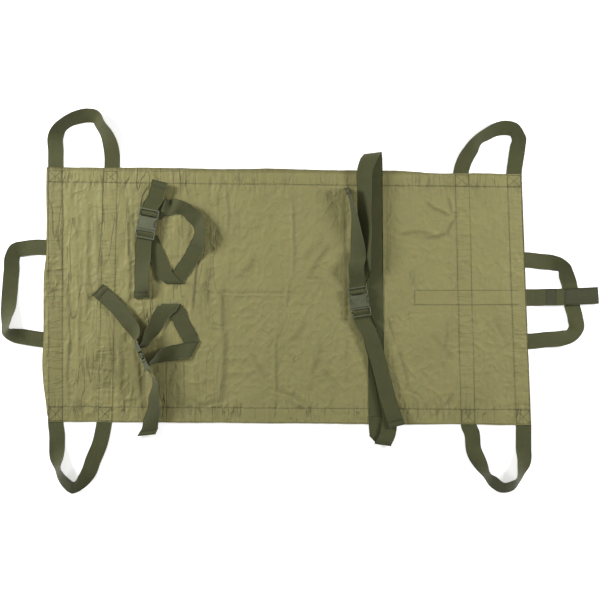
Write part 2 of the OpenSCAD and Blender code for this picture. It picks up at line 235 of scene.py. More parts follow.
def webbing_material(name, base, rib_pitch=2.1):
    """Woven webbing: cross ribs and lengthwise cords, from the ribbon's own UVs in metres."""
    m, tree = new_material(name)
    uv = node(tree, "TexCoord", "UV")
    cords, ribs = [
        maths(tree, "SINE", maths(tree, "MULTIPLY", node(tree, "SeparateXYZ", axis, Vector=uv),
                                  2 * math.pi / (pitch * MM)))
        for axis, pitch in (("X", 1.6 * rib_pitch), ("Y", rib_pitch))]
    weave = maths(tree, "MULTIPLY_ADD", cords, 0.45, ribs)
    place = node(tree, "TexCoord", "Object")
    cloud = node(tree, "TexNoise", "Color", Vector=place, Scale=60.0, Detail=4.0, Roughness=0.6)
    # The ribs' colour follows their relief: painted highlight on the tops, painted shade in the hollows
    rib_light_and_shade = node(tree, "MapRange", "Result", Value=weave, From_Min=-1.4, From_Max=1.4)
    colour = mixed(tree, rib_light_and_shade, toned(base, 0.72), toned(base, 1.25))
    surface(tree, Base_Color=mixed(tree, 0.3, colour, cloud, "MULTIPLY"),
            Normal=node(tree, "Bump", "Normal", Height=weave, Strength=0.5, Distance=0.0004),
            Roughness=0.68, Specular_IOR_Level=0.3, Sheen_Weight=0.2, Sheen_Roughness=0.45)
    return m

def plastic_material(name, base, roughness):
    """Moulded plastic with a fine grain and slightly rubbed, paler patches."""
    m, tree = new_material(name)
    place = node(tree, "TexCoord", "Object")
    grain = node(tree, "TexNoise", "Fac", Vector=place, Scale=1400.0, Detail=2.0)
    rub = node(tree, "TexNoise", "Fac", Vector=place, Scale=55.0, Detail=5.0, Roughness=0.7)
    spread = node(tree, "MapRange", "Result", Value=rub, To_Min=roughness - 0.06, To_Max=roughness + 0.1)
    surface(tree, Base_Color=mixed(tree, rub, toned(base, 0.85), toned(base, 1.2)), Roughness=spread,
            Normal=node(tree, "Bump", "Normal", Height=grain, Strength=0.12, Distance=0.0002))
    return m

def thread_material(name, base):
    """Spun thread, twisted."""
    m, tree = new_material(name)
    place = node(tree, "TexCoord", "Object")
    twist = node(tree, "TexNoise", "Fac", Vector=place, Scale=900.0, Detail=2.0)
    surface(tree, Base_Color=mixed(tree, twist, toned(base, 0.75), toned(base, 1.2)), Roughness=0.7)
    return m

FABRIC = (0.298, 0.275, 0.096)
FABRIC_SHADE_COLOUR = (0.10, 0.09, 0.03)
WEBBING = (0.090, 0.095, 0.033)
fabric_mat = fabric_material("olive_fabric", FABRIC, FABRIC_SHADE_COLOUR)
webbing_mat = webbing_material("olive_webbing", WEBBING)
tape_mat = webbing_material("hook_tape", (0.07, 0.074, 0.033), 1.3)
thread_mat = thread_material("olive_thread", (0.075, 0.07, 0.03))
dark_thread = thread_material("dark_thread", (0.028, 0.03, 0.014))
grey_plastic = plastic_material("grey_green_plastic", (0.125, 0.135, 0.08), 0.3)
dark_plastic = plastic_material("dark_olive_plastic", (0.095, 0.102, 0.055), 0.26)

# --- Mesh helpers ---
def mesh_object(name, points, faces, material, smooth=True):
    mesh = bpy.data.meshes.new(name)
    mesh.from_pydata(np.asarray(points, float).tolist(), [], faces)
    mesh.polygons.foreach_set("use_smooth", [smooth] * len(mesh.polygons))
    mesh.materials.append(material)
    mesh.update()
    o = bpy.data.objects.new(name, mesh)
    bpy.context.scene.collection.objects.link(o)
    return o


def grid_faces(rows, cols, start=0, flip=False):
    i, j = np.meshgrid(np.arange(rows - 1), np.arange(cols - 1), indexing="ij")
    a = (start + i * cols + j).ravel()
    quads = np.stack([a, a + cols, a + cols + 1, a + 1], 1)
    return (quads[:, ::-1] if flip else quads).tolist()


def skirt(rows, cols, count):
    """The faces that join the rims of two grids, the second one count points after the first."""
    faces = []
    for i in range(rows - 1):
        a, b = i * cols, (i + 1) * cols
        faces.append([a, count + a, count + b, b][::-1])
        a, b = a + cols - 1, b + cols - 1
        faces.append([a, b, count + b, count + a][::-1])
    for j in range(cols - 1):
        faces.append([j, j + 1, count + j + 1, count + j][::-1])
        a = (rows - 1) * cols + j
        faces.append([a, count + a, count + a + 1, a + 1][::-1])
    return faces


def shell_faces(rows, cols, upper_first=False):
    """The faces of a closed shell between two grids of points, the second one after the first."""
    count = rows * cols
    faces = grid_faces(rows, cols) + grid_faces(rows, cols, count, True) + skirt(rows, cols, count)
    return faces if upper_first else [f[::-1] for f in faces]

def run_along(points):
    """The distance run at each point of a line of points."""
    return np.concatenate([[0], np.cumsum(np.linalg.norm(np.diff(points, axis=0), axis=1))])

def between(at, run, points):
    """The places at given distances along a line of points."""
    return np.stack([np.interp(at, run, points[:, k]) for k in range(points.shape[1])], -1)

def attach(o, body, other=None, start=(0, 0, 0), end=(0, 0, 0)):
    """o rides on a body or, when another body is given, only has its transform baked into its mesh. start and
    end are not used.
    """
    if other:
        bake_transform(o)
    else:
        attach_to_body(o, body)
    return o


# --- Ribbons ---
def st(x, y, z, heading=0, tilt=0):
    """A station on a ribbon: its middle point and the unit vector across the webbing."""
    h, t = math.radians(heading), math.radians(tilt)
    return np.array([x, y, z], float), np.array([math.cos(h) * math.cos(t), math.sin(h) * math.cos(t),
                                                 math.sin(t)])


def fold(x, y, c, heading_in, heading_out, z0, z1, reach=8):
    """A flat fold over a crease that lies along c."""
    a, b = math.radians(heading_in), math.radians(heading_out)
    return [st(x - reach * math.cos(a), y - reach * math.sin(a), z0, c),
            st(x, y, (z0 + z1) / 2, c),
            st(x + reach * math.cos(b), y + reach * math.sin(b), z1, c)]


PLACES = {"right_leg": ((-442, 235, 17), 79, 0), "left_leg": ((-455, -187, 38), 115, -85),
          "chest": ((234, -14, 17), 99, 0)}


def turned(place, v):
    r, h = math.radians(place[2]), math.radians(place[1])
    x, y, z = v[0], v[1] * math.cos(r) - v[2] * math.sin(r), v[1] * math.sin(r) + v[2] * math.cos(r)
    return np.array([x * math.cos(h) - y * math.sin(h), x * math.sin(h) + y * math.cos(h), z])


def placed(place, v):
    return np.array(place[0], float) + turned(place, v)


BAR_X = 31
WRAP_PATH = [(50, -0.6), (42, -0.2), (36, 2.6), (31, 4.4), (27, 3.2), (25.4, 0.4), (27, -2.4), (31, -3.6)]


def wrap(which, end):
    """The webbing's way round a buckle's middle bar, from the tail to the run."""
    place = PLACES[which]
    return [(placed(place, (end * a, 0, b)), turned(place, (0, -1, 0))) for a, b in WRAP_PATH]


def spline(values, knots, t):
    """Smooth curve through values at knots, with slopes from their neighbours."""
    slopes = np.gradient(values, knots, axis=0)
    if len(knots) > 2:
        slopes[1:-1] = [((values[i + 1] - values[i]) / (knots[i + 1] - knots[i]) * (knots[i] - knots[i - 1])
                         + (values[i] - values[i - 1]) / (knots[i] - knots[i - 1]) * (knots[i + 1] - knots[i]))
                        / (knots[i + 1] - knots[i - 1]) for i in range(1, len(knots) - 1)]
    k = np.clip(np.searchsorted(knots, t, side="right") - 1, 0, len(knots) - 2)
    h = (knots[k + 1] - knots[k])
    u = ((t - knots[k]) / h)[:, None]
    h = h[:, None]
    return ((2 * u ** 3 - 3 * u ** 2 + 1) * values[k] + (u ** 3 - 2 * u ** 2 + u) * h * slopes[k]
            + (3 * u ** 2 - 2 * u ** 3) * values[k + 1] + (u ** 3 - u ** 2) * h * slopes[k + 1])


def unit_rows(a):
    return a / np.maximum(np.linalg.norm(a, axis=1, keepdims=True), 1e-9)


def flow(route, pitch=3.0):
    """Dense stations along a route: middle points, unit across, unit face and distance run."""
    points = np.array([p for p, _ in route])
    across = np.array([c for _, c in route])
    knots = run_along(points)
    count = max(8, int(knots[-1] / pitch))
    t = np.unique(np.concatenate([np.linspace(0, knots[-1], count), knots]))
    t = t[np.concatenate([[True], np.diff(t) > 0.4])]
    p = spline(points, knots, t)
    c = unit_rows(spline(across, knots, t))
    way = unit_rows(np.gradient(p, axis=0))
    face = np.cross(way, c)
    lean = np.linalg.norm(face, axis=1)
    return p, c, face / lean[:, None], np.maximum(lean, 0.85), t


def ribbon(name, route, attached, nodes=(), cuts=(), material=None, width=WEB, thick=WEB_THICK, hem=0,
           wave=0.35, seed=0, columns=12):
    """A closed strap that follows a route, with rounded edges and UVs in metres.
    cuts are stations at which it is divided, and attached says what each length rides on.
    hem is the side, 1 or -1, to which the first end is turned back and sewn double."""
    p, c, face, lean, t = flow(route)
    u = np.linspace(-1, 1, columns + 1)
    edge = 1 - 0.45 * np.abs(u) ** 10
    half = width / 2 / lean
    mid = p + c * (wave * noise(t / 40, 0.5, seed + 3))[:, None]
    ends = np.minimum(1, np.minimum(t, t[-1] - t) / 30)[:, None]
    cup = 0.35 * noise(t[:, None] / 34, u[None, :] * 1.2, seed + 5) * ends
    layers = []
    for sign in (-1, 1):
        high = sign * thick / 2 * edge[None, :] + cup
        layers.append(mid[:, None, :] + c[:, None, :] * (u[None, :, None] * half[:, None, None])
                      + face[:, None, :] * high[:, :, None])
    knots = run_along(np.array([q for q, _ in route]))
    rows_at = [0] + [int(np.argmin(np.abs(t - knots[k]))) for k in cuts] + [len(p) - 1]
    for part, how in enumerate(attached):
        i0, i1 = rows_at[part], rows_at[part + 1]
        shells = [[layer[i0:i1 + 1] for layer in layers]]
        if hem and part == 0:
            # The end is turned back on itself as a second layer
            turn = int(np.searchsorted(t, TURN_BACK)) + 1
            lift = face[:turn, None, :] * hem * (thick + 0.35)
            shells.append([layer[:turn] + lift for layer in layers])
        points, faces, flat = [], [], []
        for shell in shells:
            rows, start = len(shell[0]), sum(len(grid) for grid in points)
            faces += [[i + start for i in f] for f in shell_faces(rows, columns + 1)]
            points += [layer.reshape(-1, 3) for layer in shell]
            place = np.broadcast_arrays(u * width / 2, t[i0:i0 + rows, None])
            flat += [np.stack(place, -1).reshape(-1, 2)] * 2
        points = np.concatenate(points) * MM
        points[:, 2] = np.maximum(points[:, 2], 0.1 * MM)
        o = mesh_object(name + ("_%d" % part if part else ""), points, faces, material or webbing_mat)
        uv = o.data.uv_layers.new(name="UVMap")
        index = np.zeros(len(o.data.loops), int)
        o.data.loops.foreach_get("vertex_index", index)
        uv.data.foreach_set("uv", (np.concatenate(flat) * MM)[index].ravel())
        if nodes and part == 0:
            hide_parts(*nodes)
        attach(o, *how)
    return p, c, face, t

# --- Stitches ---
class Stitching:
    """Collects thread stitches, and makes one object of them for each body."""

    def __init__(self):
        self.points, self.faces, self.count = [], [], 0

    def line(self, path, normals, pitch=4.4, length=3.5, radius=THREAD):
        """Stitches along a path given as points in millimetres, half sunk into the surface."""
        path, normals = np.asarray(path, float), np.asarray(normals, float)
        run = run_along(path)
        if run[-1] < length:
            return
        n = max(1, int(run[-1] / pitch))
        starts = (np.arange(n) + 0.5) * run[-1] / n
        rings = np.array([-0.5, -0.3, 0.0, 0.3, 0.5])
        size = np.array([0.35, 0.9, 1.0, 0.9, 0.35])
        sides = 6
        turn = np.arange(sides) * 2 * math.pi / sides
        for s in starts:
            at = s + rings * length
            centre = between(at, run, path)
            up = between(s, run, normals)
            up /= np.linalg.norm(up)
            way = centre[-1] - centre[0]
            way /= max(np.linalg.norm(way), 1e-9)
            side = np.cross(way, up)
            centre = centre + up * (0.30 * size - 0.14)[:, None]
            ring = (centre[:, None, :] + radius * size[:, None, None]
                    * (np.cos(turn)[None, :, None] * side + np.sin(turn)[None, :, None] * up))
            self.points.append(ring.reshape(-1, 3))
            base = self.count
            for i in range(len(rings) - 1):
                for k in range(sides):
                    a, b = base + i * sides + k, base + i * sides + (k + 1) % sides
                    self.faces.append([a, b, b + sides, a + sides])
            self.faces.append([base + k for k in range(sides)][::-1])
            self.faces.append([base + (len(rings) - 1) * sides + k for k in range(sides)])
            self.count += len(rings) * sides

    def make(self, name, *how, material=None):
        o = mesh_object(name, np.concatenate(self.points) * MM, self.faces, material or thread_mat)
        return attach(o, *how)


def stitch_across(stitching, ribbon_data, at, half=21, lift=1.0, pitch=3.6, radius=THREAD):
    """A line of stitches across a ribbon at a distance along it."""
    p, c, face, t = ribbon_data
    mid = between(at, t, p)
    k = int(np.argmin(np.abs(t - at)))
    u = np.linspace(-half, half, 14)
    path = mid + c[k] * u[:, None] + face[k] * lift
    stitching.line(path, np.broadcast_to(face[k], path.shape), pitch=pitch, length=2.8, radius=radius)


# --- The sheet ---
def strip_middle(ends, y):
    """Where a band that leans a little lies at y."""
    share = (y + HALF_WIDTH) / (2 * HALF_WIDTH)
    return ends[1] + (ends[0] - ends[1]) * share


BANDS = [FOOT_EDGE_X, FOOT_INNER_X, HEAD_INNER_X, HEAD_EDGE_X]

# Creases: two ends, how wide, how high, and how far along they bend sideways
CREASES = [
    ((-282, 145), (-304, -66), 4, 3.0, -3), ((-270, 120), (-262, -40), 8, 1.2, 3),
    ((-204, 60), (-205, -130), 6, 1.6, -6), ((-205, -60), (-222, -380), 7, 1.9, 8),
    ((-262, 5), (62, 4), 4, 0.9, 3), ((-195, 370), (-190, 190), 5, 0.9, 4),
    ((14, 340), (20, 60), 4, 1.3, 5), ((-34, -110), (-30, -350), 4, 1.3, -4),
    ((6, 60), (-2, -40), 4, 1.0, 3), ((182, 380), (184, -390), 5, 0.6, 4),
    ((-640, 330), (-646, -120), 6, 1.1, 6), ((-604, 300), (-596, -60), 5, 1.0, -5),
    ((-672, 200), (-668, -300), 6, 1.0, 5), ((-690, -110), (-700, -330), 5, 1.7, -8),
    ((-520, 330), (-508, 60), 6, 1.0, 8), ((-500, 120), (-516, -60), 5, 1.1, 4),
    ((-540, -120), (-536, -360), 6, 1.0, 6), ((-500, -150), (-470, -330), 7, 1.7, 8),
    ((-700, 60), (-694, -120), 4, 1.2, 3), ((536, 262), (440, 318), 5, 1.5, 4),
    ((536, 258), (505, 190), 4, 2.2, -4), ((536, 262), (520, 330), 4, 1.6, -3),
    ((528, 226), (430, 196), 5, 1.5, 10), ((500, 196), (345, 205), 6, 1.2, -16),
    ((534, 262), (556, 262), 4, 1.6, 0), ((404, 92), (392, 30), 4, 1.3, 3),
    ((398, 100), (386, 40), 3, 1.0, 2), ((330, 50), (300, 84), 6, 1.3, 4),
    ((311, -50), (343, -158), 4, 1.9, 3), ((343, -150), (386, -312), 5, 1.7, 5),
    ((370, -300), (440, -340), 5, 1.2, 5), ((505, -60), (492, -200), 5, 1.1, 5),
    ((530, -290), (500, -350), 5, 1.2, 3), ((-100, 150), (-170, 60), 8, 0.9, 6),
    ((60, -60), (-10, -150), 8, 0.9, 6), ((60, 48), (134, 50), 4, 1.2, 3),
    ((120, 200), (40, 120), 10, 0.8, -6), ((440, -120), (520, -230), 10, 0.7, 7),
    ((640, -60), (700, -180), 8, 0.6, 5), ((90, -230), (160, -330), 9, 0.8, 6),
    ((150, 190), (60, 60), 7, 1.1, -8), ((-420, -300), (-300, -250), 8, 0.9, -6),
    ((-340, -330), (-230, -380), 7, 0.9, 4), ((-560, 90), (-450, 30), 7, 1.0, 6),
    ((-380, 40), (-260, 10), 7, 1.0, 5), ((-650, -235), (-520, -262), 5, 1.3, 6),
    ((-250, -95), (-190, -100), 4, 1.2, 2), ((-290, -370), (-180, -340), 6, 1.2, 5),
    ((-60, -300), (60, -352), 6, 1.2, 6), ((100, -120), (70, -260), 7, 1.1, 6),
    ((-120, -180), (-60, -290), 7, 1.0, -6)]


def bump_along(x, y, crease):
    (x0, y0), (x1, y1), wide, high, bend = crease
    length = math.hypot(x1 - x0, y1 - y0)
    ax, ay = (x1 - x0) / length, (y1 - y0) / length
    s = (x - x0) * ax + (y - y0) * ay
    d = (x - x0) * -ay + (y - y0) * ax
    share = np.clip(s / length, 0, 1)
    d = d - bend * np.sin(share * math.pi) - 2.2 * noise(s / 45, 0.3, wide + int(abs(x0)))
    fade = step(-0.02, 0.3, s / length) * (1 - step(0.7, 1.02, s / length))
    ridge = np.exp(-(np.abs(d) / wide) ** 1.25)
    valley = np.exp(-((d - 1.9 * wide) / (1.3 * wide)) ** 2)
    # The second value is painted shade in the hollow beside the ridge
    return 1.5 * high * fade * (ridge - 0.6 * valley), min(1.0, 0.22 * high) * fade * valley


def hem_width(y):
    return np.where(np.asarray(y) > 0, UPPER_HEM, LOWER_HEM)


def hem_distance(x, y):
    """Distance inside the nearer long edge."""
    return np.minimum(upper_y(x) - y, y - lower_y(x))


def relief(x, y):
    """Height of the fabric's upper face in millimetres, and from 0 to 1 how much painted shade each point
    takes for lying deep in a crease.
    """
    x, y = np.asarray(x, float), np.asarray(y, float)
    foot = 1 - step(-330, -120, x)
    z = FACE + 0.9 * noise(x / 210, y / 210, 1) + 0.9 * noise(x / 95, y / 120, 2)
    # Soft streaks across the carrying direction, strongest at the foot end
    bent = 0.5 * noise(x / 90, y / 90, 9)
    z = z + (0.5 + 1.1 * foot) * noise(x / 30 + bent, y / 130, 4)
    z = z + (0.2 + 0.6 * foot) * noise(x / 12 + bent, y / 80, 5)
    sharp = 1 - np.abs(noise(x / 85 + 0.6 * noise(x / 60, y / 60, 12), y / 85, 6))
    z = z + (1.1 + 0.4 * foot) * sharp ** 6 + 0.8 * (1 - np.abs(noise(x / 38, y / 44, 8))) ** 7
    z = z + 0.5 * noise(x / 17, y / 19, 10)
    # Painted shade for the colour: in creases' hollows, puckers' valleys, seams' grooves and at the rim
    painted_shade_and_tone = np.zeros_like(z)
    for crease in CREASES:
        height, depth = bump_along(x, y, crease)
        z, painted_shade_and_tone = z + height, np.maximum(painted_shade_and_tone, depth)
    inside = hem_distance(x, y)
    seam = inside - hem_width(y)
    hem = 1 - step(-1.5, 1.5, seam)
    z = z + 0.7 * hem
    # Puckers run in from the hem's seam on both sides, with painted shade in their valleys
    side = np.where(y > 0, 0.0, 40.0)
    gather = noise(x / 9.5 + 0.35 * noise(x / 25, inside / 18, 15), side + inside / 70, 16)
    strong = 0.45 + 0.55 * (0.5 + 0.5 * noise(x / 75, side, 17))
    reach = np.where(seam < 0, 34.0, 20.0)
    near_seam = np.exp(-np.abs(seam) / reach)
    z = z + 2.6 * strong * gather * near_seam
    painted_shade_and_tone = painted_shade_and_tone + 0.6 * strong * near_seam * np.clip(-gather - 0.12, 0, 1)
    # The hem's seam sinks into a groove and the rim drops away, both darkened with painted shade
    groove = np.exp(-(seam / 1.8) ** 2)
    z = z - 0.85 * groove
    painted_shade_and_tone = painted_shade_and_tone + 0.55 * groove
    rim = 1 - step(0, 5, inside)
    z = z - 0.9 * rim ** 2
    painted_shade_and_tone = painted_shade_and_tone + 0.5 * rim
    for ends in BANDS:
        mid = strip_middle(ends, y)
        d = np.abs(x - mid)
        z = z + 0.75 * (1 - step(22.5, 26, d))
        # Each band's seams sink into grooves, darkened with painted shade
        stitch = np.exp(-((d - BAND_SEAM) / 1.7) ** 2)
        z = z - 0.7 * stitch
        painted_shade_and_tone = painted_shade_and_tone + 0.5 * stitch
        cross = noise(x / 60 + ends[0], y / 11 + 0.4 * noise(x / 30, y / 30, 19), 20)
        z = z + 0.7 * cross * (1 - step(18, 34, d))
    closure = (1 - step(22.5, 26, np.abs(y))) * step(CLOSURE_START - 2, CLOSURE_START + 2, x)
    closure = closure * (1 - step(CLOSURE_STOP, CLOSURE_STOP + 30, x))
    # The closure band's seams sink into grooves, darkened with painted shade
    stitch = np.exp(-((np.abs(y) - CLOSURE_SEAM) / 1.7) ** 2) * step(CLOSURE_START, CLOSURE_START + 3, x)
    stitch = stitch * (1 - step(740, 750, x))
    start = np.exp(-((x - CLOSURE_START - 3) / 1.7) ** 2) * (1 - step(22, 25, np.abs(y)))
    z = z + 0.55 * closure - 0.6 * np.maximum(stitch, start)
    painted_shade_and_tone = painted_shade_and_tone + 0.5 * np.maximum(stitch, start)
    # A darker strip along the foot edge's band, and a trace darker over the hems
    painted_shade_and_tone = painted_shade_and_tone + 0.24 * (1 - step(20, 30, np.abs(x + 736))) + 0.02 * hem
    # Webbing sewn or laid flat presses the fabric down
    pressed = (1 - step(34, 44, np.abs(x - 287))) + (1 - step(36, 46, np.hypot(x + 285, y - 165)))
    pressed = np.clip(pressed + 1 - step(36, 46, np.hypot(x + 300, y + 135)), 0, 1)
    root = (1 - step(30, 40, np.abs(y))) * step(700, 730, x)
    rise = (z - FACE) * (1 - 0.65 * np.maximum(pressed, root)) - 0.7 * root
    z = FACE + RELIEF * np.tanh(rise / RELIEF)
    return z, np.clip(painted_shade_and_tone, 0, 1)


def crease_line_strength(x, y):
    """How strongly streaks, hem puckers and the bands' gathers show at each point, as thin crease lines
    painted in as shade and bumped.
    """
    inside = hem_distance(x, y)
    streak = 0.15 + 0.75 * (1 - step(-330, -120, x))
    pucker = 1.15 * np.exp(-np.abs(inside - hem_width(y) + 12) / 24) * (0.75 + 0.25 * (y < 0))
    gather = np.zeros_like(x)
    for ends in BANDS:
        gather = np.maximum(gather, 1 - step(20, 34, np.abs(x - strip_middle(ends, y))))
    share = np.where(x > 0, 0.3, 0.45)
    return {"streak": streak, "pucker": pucker, "gather": share * gather * (1 - step(0.2, 0.6, pucker))}


def spaced(lo, hi, base, fine_at, fine=1.6, reach=5.0):
    """Grid lines from lo to hi, closer together round the given places."""
    lines = [lo]
    while lines[-1] < hi - 1e-6:
        near = any(abs(lines[-1] - f) < reach for f in fine_at)
        lines.append(min(hi, lines[-1] + (fine if near else base)))
    if lines[-1] - lines[-2] < 0.6:
        lines.pop(-2)
    return np.array(lines)


def sheet_outline(x, upper):
    """The long sides, with the slight waves of a hem that has been used."""
    ripple = 1.6 * noise(x / 120, 0.7 if upper else 5.2, 31) + 0.6 * noise(x / 33, 0.2 if upper else 3.1, 32)
    if upper:
        return (upper_y(x) + ripple + 6 * (1 - step(330, 480, x)) + 3 * np.exp(-((x + 20) / 90) ** 2)
                + 1.5 * np.exp(-((x + 420) / 120) ** 2))
    return lower_y(x) - ripple + 0.8


def foot_edge(y):
    """The foot end's rim, which hangs out a little below the middle."""
    bulge = 9 * (1 - step(60, 150, y)) + 4 * np.exp(-((y + 215) / 60) ** 2)
    corner = 6 * (1 - step(-400, -370, y))
    return -FOOT_REACH - 2.5 - bulge * step(-385, -270, y) + corner + 1.2 * noise(y / 100, 0.6, 43)


# The sheet's pieces along X: name, start, end, the body it rides on and, over a fold, the next body
SPANS = [
    ("foot_fabric", -FOOT_REACH, -265, "foot_end", None),
    ("foot_fold_outer", -265, -239, "foot_end", "foot_fold"),
    ("foot_spine_fabric", -239, -125, "foot_fold", None),
    ("foot_fold_inner", -125, -99, "foot_fold", "middle"),
    ("middle_fabric", -99, 407, "middle", None),
    ("head_fold_inner", 407, 433, "middle", "head_fold"),
    ("head_spine_fabric", 433, 467, "head_fold", None),
    ("head_fold_outer", 467, 493, "head_fold", "head_end"),
    ("head_fabric", 493, HEAD_REACH, "head_end", None),
]
NODES_OF = {
    "foot_fabric": ["foot_panel", "foot_hems"], "foot_spine_fabric": ["foot_fold_strip", "foot_fold_hems"],
    "middle_fabric": ["middle_panel", "middle_hems"],
    "head_spine_fabric": ["head_fold_strip", "head_fold_hems"], "head_fabric": ["head_panel", "head_hems"]}
# Where webbing is sewn to the foot end and the head end: middle and half width along Y
END_ROOTS = {"foot_fabric": [(y, 27) for y in FOOT_END_Y],
             "head_fabric": [(y, 27) for y in HEAD_END_Y] + [(0, 29)]}


def steepness(x, y, reach):
    """How much the upper face rises along X and along Y."""
    dx = (relief(x + reach, y)[0] - relief(x - reach, y)[0]) / (2 * reach)
    dy = (relief(x, y + reach)[0] - relief(x, y - reach)[0]) / (2 * reach)
    return dx, dy

def smooth_joins(o, top, rows, cols):
    """Normals of the upper face come from the height field itself, so shading runs on over the cuts."""
    dx, dy = steepness(top[:, 0], top[:, 1], 1.5)
    n = unit_rows(np.stack([-SHADING * dx, -SHADING * dy, np.ones_like(dx)], 1))
    own = np.zeros(len(o.data.vertices) * 3)
    o.data.vertices.foreach_get("normal", own)
    own = own.reshape(-1, 3)
    inner = np.arange(rows * cols).reshape(rows, cols)[:, 1:-1].ravel()
    own[inner] = n[inner]
    o.data.normals_split_custom_set_from_vertices(own.tolist())

def make_sheet():
    """Builds every sheet piece from one height field, so that the pieces meet without a step."""
    fine_x = [m + s for ends in BANDS for m in ends for s in (-BAND_SEAM, BAND_SEAM)] + [CLOSURE_START + 3]
    fine_y = [LOWER_HEM - HALF_WIDTH, HALF_WIDTH - UPPER_HEM, -CLOSURE_SEAM, CLOSURE_SEAM, -HALF_WIDTH,
              HALF_WIDTH]
    v = spaced(-HALF_WIDTH, HALF_WIDTH, GRID, fine_y) / HALF_WIDTH
    for name, x0, x1, body, other in SPANS:
        xs = spaced(x0, x1, GRID, fine_x + ([x0, x1] if name in END_ROOTS else []))
        u = ((xs - x0) / (x1 - x0))[:, None]
        if name == "head_fabric":
            edge = head_x(v * HALF_WIDTH) - 0.6 + 1.2 * noise(v * 4, 0.4, 41)
            px = x0 + u * (edge - x0)[None, :]
        elif name == "foot_fabric":
            edge = foot_edge(v * HALF_WIDTH)
            px = edge[None, :] + u * (x1 - edge)[None, :]
        else:
            px = np.broadcast_to(xs[:, None], (len(xs), len(v))).copy()
        py = v[None, :] * np.where(v[None, :] > 0, sheet_outline(px, True), -sheet_outline(px, False))
        z, sheet_shade_and_tone = relief(px, py)
        under = np.clip(z - 2.2, 0.25, 2.4)
        if name in END_ROOTS:
            # The cut rim drops away, darkened with painted shade
            rim = np.abs(edge[None, :] - px)
            near = 1 - step(0, 5, rim)
            z = z - 0.6 * near ** 2
            sheet_shade_and_tone = np.clip(sheet_shade_and_tone + 0.5 * near, 0, 1)
            for mid, half in END_ROOTS[name]:
                over = (1 - step(half, half + 2, np.abs(py - mid))) * (1 - step(24, 28, rim))
                under = np.maximum(under, over * np.minimum(2.1, z - 0.4))
        covered = [1 - step(26, 28, np.abs(px - strip_middle(ends, py))) for ends in BANDS]
        covered.append((1 - step(26, 28, np.abs(py))) * step(CLOSURE_START - 4, CLOSURE_START - 2, px))
        for over in covered:
            under = np.maximum(under, over * np.minimum(2.0, z - 0.4))
        rows, cols = px.shape
        top, low = [np.stack([px, py, height], -1).reshape(-1, 3) for height in (z, under)]
        o = mesh_object(name, np.concatenate([top, low]) * MM, shell_faces(rows, cols, True), fabric_mat)
        # The crease attribute carries the painted shade; the underside takes a flat 0.2 of it
        layers = {"crease": (sheet_shade_and_tone, np.full_like(sheet_shade_and_tone, 0.2))}
        layers.update((key, (value, 0.4 * value)) for key, value in crease_line_strength(px, py).items())
        for key, (upper, lower) in layers.items():
            layer = o.data.attributes.new(key, "FLOAT", "POINT")
            layer.data.foreach_set("value", np.concatenate([upper.ravel(), lower.ravel()]).astype(np.float32))
        smooth_joins(o, top, rows, cols)
        if name in NODES_OF:
            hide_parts(*NODES_OF[name])
        attach(o, body, other, (x0, 0, 0), (x1, 0, 0))

make_sheet()

# --- Bands under the sheet ---
def band_strip(name, nodes, start, end, body, stations=6):
    """A length of webbing sewn flat to the underside."""
    along, up = end[0] - start[0], end[1] - start[1]
    heading = math.degrees(math.atan2(up, along)) - 90
    route = [st(start[0] + along * k, start[1] + up * k, 1.0, heading) for k in np.linspace(0, 1, stations)]
    ribbon(name, route, [(body,)], nodes, thick=1.5, wave=0.2)

def under_bands():
    for name, ends in zip(("foot_edge", "foot_inner", "head_inner", "head_edge"), BANDS):
        # The band at the foot edge keeps clear of the rim
        clear = 2 if name == "foot_edge" else 0
        start, end = [(strip_middle(ends, y) + clear, y) for y in (lower_y(ends[1]) + 24,
                                                                   upper_y(ends[0]) - 24)]
        band_strip(name + "_webbing", [name + "_band"], start, end, name[:4] + "_end")
    inner = strip_middle(HEAD_INNER_X, 0)
    band_strip("closure_webbing", ["closure_band"], (488, 0), (inner - 27, 0), "head_end")
    band_strip("closure_webbing_end", [], (inner + 27, 0), (716, 0), "head_end", 4)

under_bands()

# --- Stitching on the sheet ---
def span_of(x):
    return next(s for s in SPANS if x < s[2] or s is SPANS[-1])


sheet_threads = {s[0]: Stitching() for s in SPANS}


def sew(points, pitch=4.4, under=False, radius=THREAD):
    """A stitch line over the sheet through points (x, y), divided where the sheet is."""
    points = np.asarray(points, float)
    run = run_along(points)
    x, y = between(np.linspace(0, run[-1], max(2, int(run[-1] / 2.2))), run, points).T
    z = relief(x, y)[0]
    dx, dy = steepness(x, y, 1)
    up = unit_rows(np.stack([-dx, -dy, np.ones_like(dx)], 1))
    names = np.array([span_of(v)[0] for v in x])
    for name in dict.fromkeys(names):
        own = np.flatnonzero(names == name)
        for k in np.split(own, np.flatnonzero(np.diff(own) > 1) + 1):
            if len(k) > 2:
                sheet_threads[name].line(np.stack([x[k], y[k], z[k]], 1), up[k], pitch, radius=radius)
                if under:
                    low = np.stack([x[k], y[k], np.full(len(k), 0.62)], 1)
                    sheet_threads[name].line(low, np.tile([0, 0, -1.0], (len(k), 1)), pitch)

def box_x(x0, x1, y0, y1):
    """The square with a cross in it that holds a handle's end."""
    square = [(x0, y0), (x1, y0), (x1, y1), (x0, y1), (x0, y0)]
    for path in (square, [(x0, y0), (x1, y1)], [(x0, y1), (x1, y0)]):
        sew(path, 4.0, True, HEAVY_THREAD)

